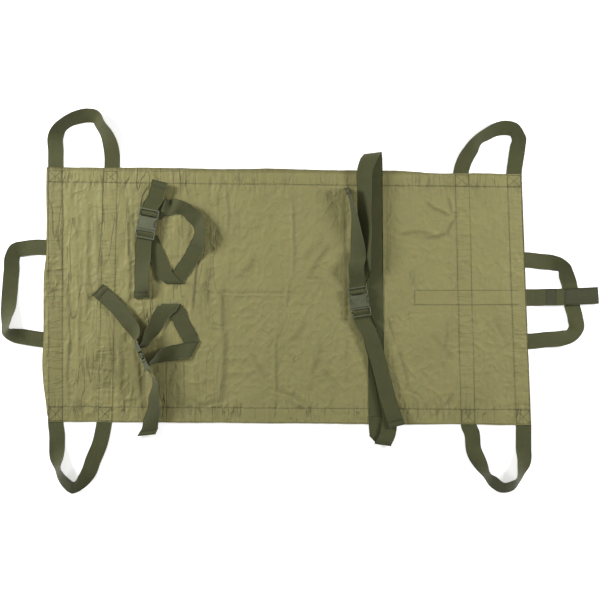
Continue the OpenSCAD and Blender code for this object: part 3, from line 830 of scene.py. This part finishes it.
def sew_sheet():
    for sign, rim in ((1, upper_y), (-1, lower_y)):
        for inset in (hem_width(sign), 4.5):
            sew([(x, rim(x) - sign * inset) for x in np.linspace(-FOOT_REACH + 3, 752, 60)])
    for ends in BANDS:
        ys = np.linspace(lower_y(ends[1]) + 9, upper_y(ends[0]) - 9, 8)
        for off in (-BAND_SEAM, BAND_SEAM):
            sew([(strip_middle(ends, y) + off, y) for y in ys], under=True)
        for sign, x, rim in ((1, ends[0], upper_y), (-1, ends[1], lower_y)):
            box_x(x - BOX_HALF, x + BOX_HALF, rim(x) - sign * (hem_width(sign) - 1), rim(x) - sign * 6)
    start = CLOSURE_START + 3
    for y in (-CLOSURE_SEAM, CLOSURE_SEAM):
        sew([(start, y), (744, y)], under=True)
    sew([(start, -CLOSURE_SEAM), (start, CLOSURE_SEAM)], under=True)
    # Short rows that hold the ends of the end handles
    rows = [(-FOOT_REACH + 6, -713, y) for y in FOOT_END_Y] + [(727, head_x(y) - 6, y) for y in HEAD_END_Y]
    for x0, x1, mid in rows:
        for off in (-BAND_SEAM, BAND_SEAM):
            sew([(x0, mid + off), (x1, mid + off)], 4.0, True)
    for name, x0, x1, body, other in SPANS:
        if sheet_threads[name].points:
            sheet_threads[name].make("stitches_" + name, body, other, (x0, 0, 0), (x1, 0, 0))

sew_sheet()

# --- Handles ---
def sewn_in(x, edge, side, heading, shift=0):
    """The end of a side handle: under the sheet's rim, and where it comes out."""
    return [st(x + shift, edge(x) - TUCK * side, 1.05, heading), st(x, edge(x) + side, 1.3, heading)]

FOOT_RIGHT = sewn_in(-735, upper_y, 1, 180) + [
    st(-735, 470, 2, 180), st(-735, 510, 7.5, 172, 12), st(-720, 540, 18, 150, 42),
    st(-695, 560, 20, 125, 48), st(-660, 575, 18, 100, 38), st(-630, 580, 16, 88, 34),
    st(-605, 575, 18, 60, 36), st(-590, 550, 20, 30, 45), st(-570, 520, 15, 10, 30),
    st(-560, 490, 7, 2, 10), st(-555, 460, 2)
] + sewn_in(-555, upper_y, 1, 0, -1)[::-1]
HEAD_RIGHT = sewn_in(560, upper_y, 1, 180) + [
    st(570, 435, 5, 170, 8), st(590, 470, 11, 158, 20), st(610, 500, 20, 148, 45),
    st(640, 520, 19, 120, 42), st(670, 535, 17, 100, 36), st(705, 540, 16, 92, 30),
    st(725, 535, 17, 68, 34), st(740, 510, 18, 30, 36), st(740, 480, 9, 12, 16), st(735, 440, 3, -2)
] + sewn_in(730, upper_y, 1, 0)[::-1]
FOOT_LEFT = sewn_in(-735, lower_y, -1, 180) + [
    st(-730, -440, 5, 178, 6), st(-730, -475, 8, 182, 6), st(-730, -510, 12, 190, -20),
    st(-725, -545, 23, 205, -58), st(-715, -570, 22, 220, -50), st(-700, -590, 18, 232, -40),
    st(-680, -605, 16, 244, -34), st(-655, -590, 16, 276, -30), st(-630, -560, 12, 316, -18),
    st(-615, -520, 6, 326, -8), st(-595, -470, 3, 338)
] + sewn_in(-580, lower_y, -1, 360, 3)[::-1]
HEAD_LEFT = sewn_in(585, lower_y, -1, 180, -2) + [
    st(595, -435, 3, 182), st(600, -485, 6, 188, 4), st(620, -530, 16, 205, -32),
    st(640, -565, 25, 226, -62), st(665, -590, 20, 250, -42), st(690, -605, 20, 262, -44),
    st(720, -600, 21, 290, -46), st(740, -580, 25, 316, -62), st(750, -555, 22, 336, -50),
    st(760, -525, 12, 346, -22), st(760, -485, 4, 354), st(760, -445, 2.5, 360)
] + sewn_in(760, lower_y, -1, 360, -1)[::-1]
FOOT_END = [
    st(-FOOT_REACH + 3, 160, 1.05, 90), st(-FOOT_REACH - 1, 160, 1.3, 90), st(-805, 160, 2.5, 92),
    st(-840, 155, 5, 98, 4), st(-860, 150, 10, 118, 20), st(-870, 130, 14, 150, 26),
    st(-875, 85, 9, 172, 16), st(-880, 25, 8, 180, 10), st(-885, -30, 8, 184, -8),
    st(-890, -80, 18, 198, -42), st(-890, -110, 21, 222, -46), st(-870, -120, 14, 252, -28),
    st(-840, -125, 6, 264, -6), st(-FOOT_REACH - 1, -135, 1.3, 270), st(-FOOT_REACH + 3, -135, 1.05, 270)]
HEAD_END = [
    st(head_x(120) - 3, 120, 1.05, 92), st(head_x(120) + 1, 120, 1.3, 92), st(815, 115, 2.5, 90),
    st(855, 110, 9, 84, 16), st(880, 100, 19, 60, 40), st(895, 70, 13, 34, 24), st(905, 45, 4, 16, 4),
    st(910, 20, 2.4, 8), st(915, -25, 2.4, 6), st(925, -65, 4, 4), st(925, -100, 14, -24, 28),
    st(910, -120, 16, -56, 36), st(880, -130, 9, -80, 14), st(830, -135, 3, -88),
    st(head_x(-140) + 1, -140, 1.3, -88), st(head_x(-140) - 3, -140, 1.05, -88)]


def make_handles():
    for seed, (name, route, panel, start, end) in enumerate((
            ("foot_right", FOOT_RIGHT, "foot_end", (0, 404, 0), (0, 440, 0)),
            ("head_right", HEAD_RIGHT, "head_end", (0, 390, 0), (0, 425, 0)),
            ("foot_left", FOOT_LEFT, "foot_end", (0, -392, 0), (0, -428, 0)),
            ("head_left", HEAD_LEFT, "head_end", (0, -402, 0), (0, -438, 0)),
            ("foot_end", FOOT_END, "foot_end", (-758, 0, 0), (-790, 0, 0)),
            ("head_end", HEAD_END, "head_end", (762, 0, 0), (800, 0, 0)))):
        ribbon(name + "_handle_webbing", route, [(panel, name + "_grip", start, end)], [name + "_handle"],
               seed=seed * 7)


make_handles()


# --- Closure strap ---
def strap_line(lift, first=0, last=7):
    return [st(x, y, z + lift, h) for x, y, z, h in (
        (head_x(0) - 1, 0, 1.5, 92), (800, 0, 3.5, 92), (832, 1, 7, 92), (862, 1, 8.6, 92), (890, 2, 9, 92),
        (940, 4, 9, 93), (998, 7, 8, 94))[first:last]]


def make_closure():
    data = ribbon("closure_strap_webbing", strap_line(0), [("closure",)], ["closure_strap"], width=54,
                  seed=60)
    hook = ribbon("hook_tape", strap_line(1.55, 4, 7), [("closure",)], ["closure_hook_tape"], (), tape_mat,
                  50, 1.1,
                  seed=61, wave=0)
    ribbon("loop_tape", strap_line(1.55, 2, 4), [("closure",)], ["closure_loop_tape"], (), tape_mat, 50, 1.1,
           seed=62, wave=0)
    threads = Stitching()
    for u in (-23, 23):
        p, c, face, t = hook
        threads.line(p + c * u + face * 0.6, face, 3.6, 2.8)
    for at in (2.5, hook[3][-1] - 2.5):
        stitch_across(threads, hook, at, 23, 0.6)
    stitch_across(threads, data, 30, 22, 0.95)
    threads.make("stitches_closure", "closure", material=dark_thread)


make_closure()

# --- Belts ---
RIGHT_LEG = (
    [st(-400, 370, 24, -14), st(-405, 345, 25, -16), st(-415, 315, 21, -12)]
    + wrap("right_leg", 1)
    + fold(-430, 280, 40, 79, 0, 8.2, 6)
    + [st(-405, 275, 7, 80), st(-385, 284, 13, 82, 14), st(-366, 288, 7, 84), st(-345, 288, 17, 70, 26),
       st(-322, 282, 21, 60, 34), st(-300, 263, 20, 58, 28), st(-280, 240, 19, 52, 30),
       st(-275, 215, 24, 26, 44), st(-275, 190, 20, -24, 34), st(-285, 160, 11, -27, 12),
       st(-305, 120, 6.5, -27), st(-330, 85, 6, -24)]
    + fold(-355, 45, 0, 234, 139, 6, 9.4)
    + [st(-380, 65, 9, 8), st(-395, 95, 7.6, 14), st(-410, 135, 6.6, 16), st(-425, 170, 6.4, 14),
       st(-435, 195, 6.4, 8)])
RIGHT_LEG_TAIL = (
    [st(-460, 0, 8, 3), st(-460, 25, 16, 3, 22), st(-460, 75, 17, 0, 24), st(-455, 125, 17, 0, 6)]
    + wrap("right_leg", -1))
LEFT_LEG = (
    [st(-600, 25, 9, 45), st(-565, -5, 12, 48, 4), st(-530, -40, 16, 50, 8), st(-500, -80, 21, 46, 18),
     st(-480, -105, 27, 36, 34), st(-475, -125, 33, 20, 56)]
    + wrap("left_leg", 1)
    + [st(-450, -150, 36, 115, 68), st(-435, -120, 31, 130, 50), st(-420, -100, 24, 135, 32),
       st(-405, -70, 17, 138, 16), st(-385, -40, 12.6, 150, 4)]
    + fold(-365, -20, 180, 54, 304, 11, 7.6)
    + [st(-345, -50, 6.4, 186), st(-330, -85, 6, 192), st(-310, -120, 6, 204)]
    + fold(-290, -165, 243, 290, 193, 6.2, 10)
    + [st(-320, -170, 10.4, 248), st(-350, -175, 12, 252, -4), st(-380, -180, 19, 258, -18),
       st(-405, -190, 27, 264, -44), st(-415, -200, 34, 268, -66), st(-430, -210, 37, 270, -78)])
LEFT_LEG_TAIL = (
    [st(-445, -440, 8, 6, 4), st(-435, -420, 9, 9, 6), st(-430, -395, 14, 9, 14), st(-420, -355, 21, 9, 32),
     st(-420, -310, 29, 12, 50), st(-415, -275, 34, 16, 66)]
    + wrap("left_leg", -1))
CHEST_RIGHT = (
    [st(195, 350, 30, -6, 80), st(210, 300, 31, -4, 78), st(220, 250, 31, 0, 66), st(225, 200, 30, 0, 46),
     st(230, 150, 29, 0, 20), st(230, 125, 30, 10, 6), st(225, 105, 37, 6), st(225, 75, 32, 4),
     st(228, 55, 23, 6)]
    + wrap("chest", 1)
    + [st(229, 24, 7, 9), st(233, 50, 7, 7), st(245, 85, 17, 4, 24), st(255, 150, 26, 0, 52),
       st(255, 215, 27, 0, 42), st(250, 280, 30, 0, 30), st(250, 350, 32, 0, 20), st(250, 395, 34, 0, 14),
       st(260, 430, 33, 4, 8), st(270, 450, 29, 8, 4), st(280, 460, 21, 7, 2), st(282, 455, 12, 4),
       st(284, 425, 7.5, 2), st(284, 386, 6.2)])
CHEST_LEFT = (
    [st(245, -40, 7.4, 12), st(250, -65, 7.6, 14), st(265, -105, 7.8, 15), st(285, -175, 7.6, 15),
     st(305, -250, 8, 14), st(320, -330, 9, 10), st(330, -390, 12, 4), st(325, -435, 17, -4)]
    + fold(310, -470, -8, 248, 98, 17, 8)
    + [st(295, -440, 7, -2), st(290, -410, 6.4), st(290, -378, 6.2)])
CHEST_TAIL = (
    [st(355, -410, 22, 14), st(345, -380, 22, 14), st(330, -335, 18, 14), st(310, -260, 16, 14),
     st(290, -185, 16, 14), st(265, -110, 18, 14)]
    + wrap("chest", -1))


def hemmed(threads, data, side=1):
    """Two rows of stitches that hold a turned-back end."""
    for at in (3.5, 17.5):
        stitch_across(threads, data, at, 23, side * 3.1, 3.0, 0.75)


def leg_belt(side, route, cuts, to_anchor, from_anchor, to_latch, seed, threads):
    """A leg belt. Its stretch over the anchor stays down on the sheet when the belt is lifted."""
    belt = side + "_leg_belt"
    lengths = [(belt,), (belt, "foot_end", *to_anchor), ("foot_end", belt, *from_anchor),
               (belt, side + "_leg_release", *to_latch)]
    data = ribbon(belt + "_webbing", route, lengths, [side + "_leg_webbing"], cuts, hem=1, seed=seed)
    hemmed(threads[belt], data)

def make_belts():
    threads = {name + part: Stitching() for part in ("_belt", "_release")
               for name in ("right_leg", "left_leg", "chest")}
    leg_belt("right", RIGHT_LEG, [20, 23, 26], ((-281, 221, 0), (-284, 171, 0)),
             ((-286, 157, 0), (-330, 85, 0)), ((-360, 50, 0), (-435, 195, 0)), 21, threads)
    leg_belt("left", LEFT_LEG, [22, 24, 26], ((-340, -60, 0), (-311, -118, 0)),
             ((-310, -121, 0), (-298, -148, 0)), ((-300, -167, 0), (-430, -210, 0)), 22, threads)
    chest = ribbon("chest_belt_webbing", CHEST_RIGHT,
                   [("chest_belt",), ("chest_belt", "middle", (0, 452, 0), (0, 392, 0))],
                   ["chest_right_webbing"], [28], hem=1, seed=23)
    hemmed(threads["chest_belt"], chest)
    ribbon("chest_lower_webbing", CHEST_LEFT,
           [("chest_release", "chest_belt", (245, -40, 0), (320, -330, 0)),
            ("chest_belt", "middle", (0, -462, 0), (0, -385, 0))],
           ["chest_left_webbing"], [9], seed=24)
    for name, route in (("right_leg", RIGHT_LEG_TAIL), ("left_leg", LEFT_LEG_TAIL), ("chest", CHEST_TAIL)):
        tail = ribbon(name + "_tail_webbing", route, [(name + "_release",)], [name + "_tail"], hem=-1,
                      seed=len(name))
        hemmed(threads[name + "_release"], tail, -1)
    for body, own in threads.items():
        own.make("stitches_" + body, body, material=dark_thread)
    ribbon("chest_back_webbing", [st(284 + 6 * k, 385.6 - 763.2 * k, 5, 0.4) for k in np.linspace(0, 1, 12)],
           [("middle",)], ["chest_back_run"], seed=25)

def make_anchors(half=18, top=5.05):
    """The two patches that hold the leg belts to the sheet, each sewn with a cross."""
    sewn = Stitching()
    for name, x, y in (("right_leg_anchor", -284, 165), ("left_leg_anchor", -304, -136)):
        ribbon(name + "_webbing", [st(k, y, 4.35, 90) for k in np.linspace(x - half, x + half, 5)],
               [("foot_end",)], [name], width=2 * half, thick=1.3, wave=0, seed=26)
        a, b = half - 5, half - 4
        corners = [(x - a, y - b, top), (x + a, y - b, top), (x + a, y + b, top), (x - a, y + b, top)]
        for i, j in ((0, 1), (1, 2), (2, 3), (3, 0), (0, 2), (1, 3)):
            sewn.line([corners[i], corners[j]], np.tile([0, 0, 1.0], (2, 1)), 3.8)
    sewn.make("stitches_anchors", "foot_end", material=dark_thread)

make_belts()
make_anchors()

# --- Buckles ---
def rounded(corners, radius, steps=4):
    """A polygon with its corners rounded; radius may be one number or one for each corner."""
    corners = [np.array(c, float) for c in corners]
    out = []
    for i, c in enumerate(corners):
        r = radius[i] if hasattr(radius, "__len__") else radius
        a, b = corners[i - 1] - c, corners[(i + 1) % len(corners)] - c
        cut = min(r, 0.48 * np.linalg.norm(a), 0.48 * np.linalg.norm(b))
        p, q = c + a / np.linalg.norm(a) * cut, c + b / np.linalg.norm(b) * cut
        for k in np.linspace(0, 1, steps + 1):
            out.append((1 - k) ** 2 * p + 2 * k * (1 - k) * c + k ** 2 * q)
    return out


def plate(outlines, z0, z1, bevel=0.7):
    """A plate with bevelled rims and any holes, as points in millimetres and faces."""
    curve = bpy.data.curves.new("plate", "CURVE")
    curve.dimensions = "2D"
    curve.fill_mode = "BOTH"
    curve.extrude = max((z1 - z0) / 2 - bevel, 0.01)
    curve.bevel_depth = bevel
    curve.bevel_resolution = 2
    curve.offset = -bevel
    for outline in outlines:
        loop = curve.splines.new("POLY")
        loop.points.add(len(outline) - 1)
        for point, p in zip(loop.points, outline):
            point.co = (p[0], p[1], 0, 1)
        loop.use_cyclic_u = True
    o = bpy.data.objects.new("plate", curve)
    bpy.context.scene.collection.objects.link(o)
    bpy.context.view_layer.update()
    mesh = bpy.data.meshes.new_from_object(o.evaluated_get(bpy.context.evaluated_depsgraph_get()))
    bm = bmesh.new()
    bm.from_mesh(mesh)
    bmesh.ops.remove_doubles(bm, verts=bm.verts, dist=0.01)
    bmesh.ops.recalc_face_normals(bm, faces=bm.faces)
    points = np.array([v.co for v in bm.verts]) + [0, 0, (z0 + z1) / 2]
    bm.verts.index_update()
    faces = [[v.index for v in f.verts] for f in bm.faces]
    bm.free()
    bpy.data.objects.remove(o)
    bpy.data.meshes.remove(mesh)
    return points, faces


def rod(x, z, half, radius, sides=20):
    """A round bar across a buckle."""
    turn = np.arange(sides) * 2 * math.pi / sides
    rings = [(-half, 0.75), (-half + 0.6, 1.0), (half - 0.6, 1.0), (half, 0.75)]
    points = [(x + radius * k * math.cos(a), y, z + radius * k * math.sin(a)) for y, k in rings for a in turn]
    faces = [[i * sides + k, i * sides + (k + 1) % sides, (i + 1) * sides + (k + 1) % sides,
              (i + 1) * sides + k]
             for i in range(len(rings) - 1) for k in range(sides)]
    faces += [list(range(sides))[::-1], [(len(rings) - 1) * sides + k for k in range(sides)]]
    return np.array(points), faces


def box_outline(x0, x1, y0, y1, radius=1.0):
    return rounded([(x0, y0), (x1, y0), (x1, y1), (x0, y1)], radius)


def mirrored(half):
    """A closed outline from its side of positive y, mirrored in the buckle's middle line."""
    return [np.array(p, float) for p in half] + [np.array([p[0], -p[1]], float) for p in half[::-1]]


def frame_shapes():
    """The end of a buckle that the webbing goes through, towards +X."""
    shapes = [plate([rounded([(43, -32), (48, -32), (48, 32), (43, 32)], [1, 5, 5, 1])], 1.6, 6.8, 1.1)]
    for y0, y1 in ((-32, -28.2), (28.2, 32)):
        shapes.append(plate([box_outline(19, 46.5, y0, y1, 1.4)], -6.4, 6.4, 1.1))
    shapes.append(rod(31, 0.4, 30, 2.4))
    return shapes


def housing_shapes():
    waist = [(-18, 31.8), (-9.5, 31.8), (-7.5, 29), (-6.5, 24.5), (-3.5, 22), (9, 22.5), (13, 25),
             (16.5, 30.5),
             (19, 32), (22.5, 32)]
    face = rounded(mirrored(waist), [3.5] + [2] * 8 + [1.5] * 2 + [2] * 8 + [3.5], 3)
    shapes = [plate([face], 4.0, 7.0, 1.0), plate([face], -7.0, -4.0, 1.0)]
    for sign in (-1, 1):
        for x0, x1 in ((-17.6, -9.8), (16.8, 21.5)):
            y0, y1 = sorted((sign * 28.6, sign * 31.6))
            shapes.append(plate([box_outline(x0, x1, y0, y1, 1.2)], -5.5, 5.5, 0.6))
    shapes.append(plate([box_outline(17.5, 22.5, -29.5, 29.5, 1)], -5.5, 5.5, 0.6))
    # A shallow raised rim on the upper face
    rim = rounded([(-15.5, -26), (-11.5, -26), (-11.5, 26), (-15.5, 26)], 1.5)
    shapes.append(plate([rim], 6.8, 7.35, 0.25))
    return shapes + frame_shapes()


def latch_shapes():
    shapes = [(np.array(p) * [-1, -1, 1], f) for p, f in frame_shapes()]
    shapes.append(plate([rounded([(-24, -32), (-18.8, -31.5), (-18.8, 31.5), (-24, 32)], [3, 1, 1, 3])],
                        -6.9, 6.9, 1.1))
    shapes.append(plate([rounded([(-20, -5), (15, -4.6), (15, 4.6), (-20, 5)], [0.6, 3, 3, 0.6])], -3.4,
                        3.4, 0.6))
    return shapes


def prong_shapes(side):
    arm = [(-18.6, 16), (16.5, 16.2), (17.4, 18), (17.2, 21.6), (14.4, 22.5), (13.6, 26), (11, 30),
           (5, 31.2), (-3, 31.3),
           (-6.2, 29), (-7.5, 24), (-10, 22), (-18.6, 22)]
    shapes = [plate([rounded(arm, 1.6, 3)], -3.5, 3.5, 0.8)]
    for x in (-3.2, -0.2, 2.8, 5.8):
        shapes.append(plate([box_outline(x, x + 1.4, 26.5, 31.9, 0.5)], -3.1, 3.9, 0.3))
    return [(np.array(p) * [1, side, 1], [f[::-1] for f in faces] if side < 0 else faces) for p,
            faces in shapes]


def buckle_piece(name, stands_for, which, shapes, material, body):
    points, faces, count = [], [], 0
    for p, f in shapes:
        points.append([placed(PLACES[which], q) for q in p])
        faces += [[i + count for i in face] for face in f]
        count += len(p)
    o = mesh_object(name, np.concatenate(points) * MM, faces, material)
    bm = bmesh.new()
    bm.from_mesh(o.data)
    bmesh.ops.recalc_face_normals(bm, faces=bm.faces)
    bm.to_mesh(o.data)
    bm.free()
    o.data.set_sharp_from_angle(angle=math.radians(38))
    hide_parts(stands_for)
    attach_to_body(o, body)


def make_buckles():
    for which, material in (("right_leg", grey_plastic), ("left_leg", grey_plastic), ("chest", dark_plastic)):
        pieces = [("body", "housing", housing_shapes(), "belt"),
                  ("latch", "latch", latch_shapes(), "release")]
        for key, side in (("a", 1), ("b", -1)):
            pieces.append(("button_" + key, "prong_" + key, prong_shapes(side), "prong_" + key))
        for name, stands_for, shapes, body in pieces:
            buckle_piece(f"{which}_buckle_{name}", f"{which}_{stands_for}", which, shapes, material,
                         f"{which}_{body}")

make_buckles()

# --- Camera, light and floor ---
def add_area(name, place, look, size, power):
    light = bpy.data.lights.new(name, "AREA")
    light.shape = "DISK"
    light.size = size
    light.energy = power
    o = bpy.data.objects.new(name, light)
    o.location = place
    o.rotation_euler = (Vector(look) - Vector(place)).to_track_quat("-Z", "Y").to_euler()
    bpy.context.scene.collection.objects.link(o)
    return o


def studio():
    scene = bpy.context.scene
    scene.view_settings.view_transform = "Standard"
    world = bpy.data.worlds.new("studio")
    world.use_nodes = True
    world.node_tree.nodes["Background"].inputs["Color"].default_value = (1, 1, 1, 1)
    world.node_tree.nodes["Background"].inputs["Strength"].default_value = 0.24
    scene.world = world
    add_area("left", (-2.4, 1.1, 1.35), (0, 0, 0), 0.75, 72)
    add_area("right", (2.5, 0.7, 1.45), (0, 0, 0), 0.75, 49)
    add_area("top", (0.3, -0.6, 4.2), (0, 0, 0), 1.6, 8)
    floor_mat, tree = new_material("floor")
    surface(tree, Base_Color=(0.97, 0.97, 0.97, 1), Roughness=0.9, Emission_Color=(1, 1, 1, 1),
            Emission_Strength=0.55)
    reach, low = 9, -0.0005
    corners = [(-reach, -reach, low), (reach, -reach, low), (reach, reach, low), (-reach, reach, low)]
    floor = mesh_object("floor", corners, [[0, 1, 2, 3]], floor_mat, smooth=False)
    camera = bpy.data.objects.new("camera", bpy.data.cameras.new("camera"))
    camera.data.lens = 85
    camera.location = (0.0456, -0.008, 4.53)
    camera.data.clip_end = 60
    scene.collection.objects.link(camera)
    scene.camera = camera


studio()
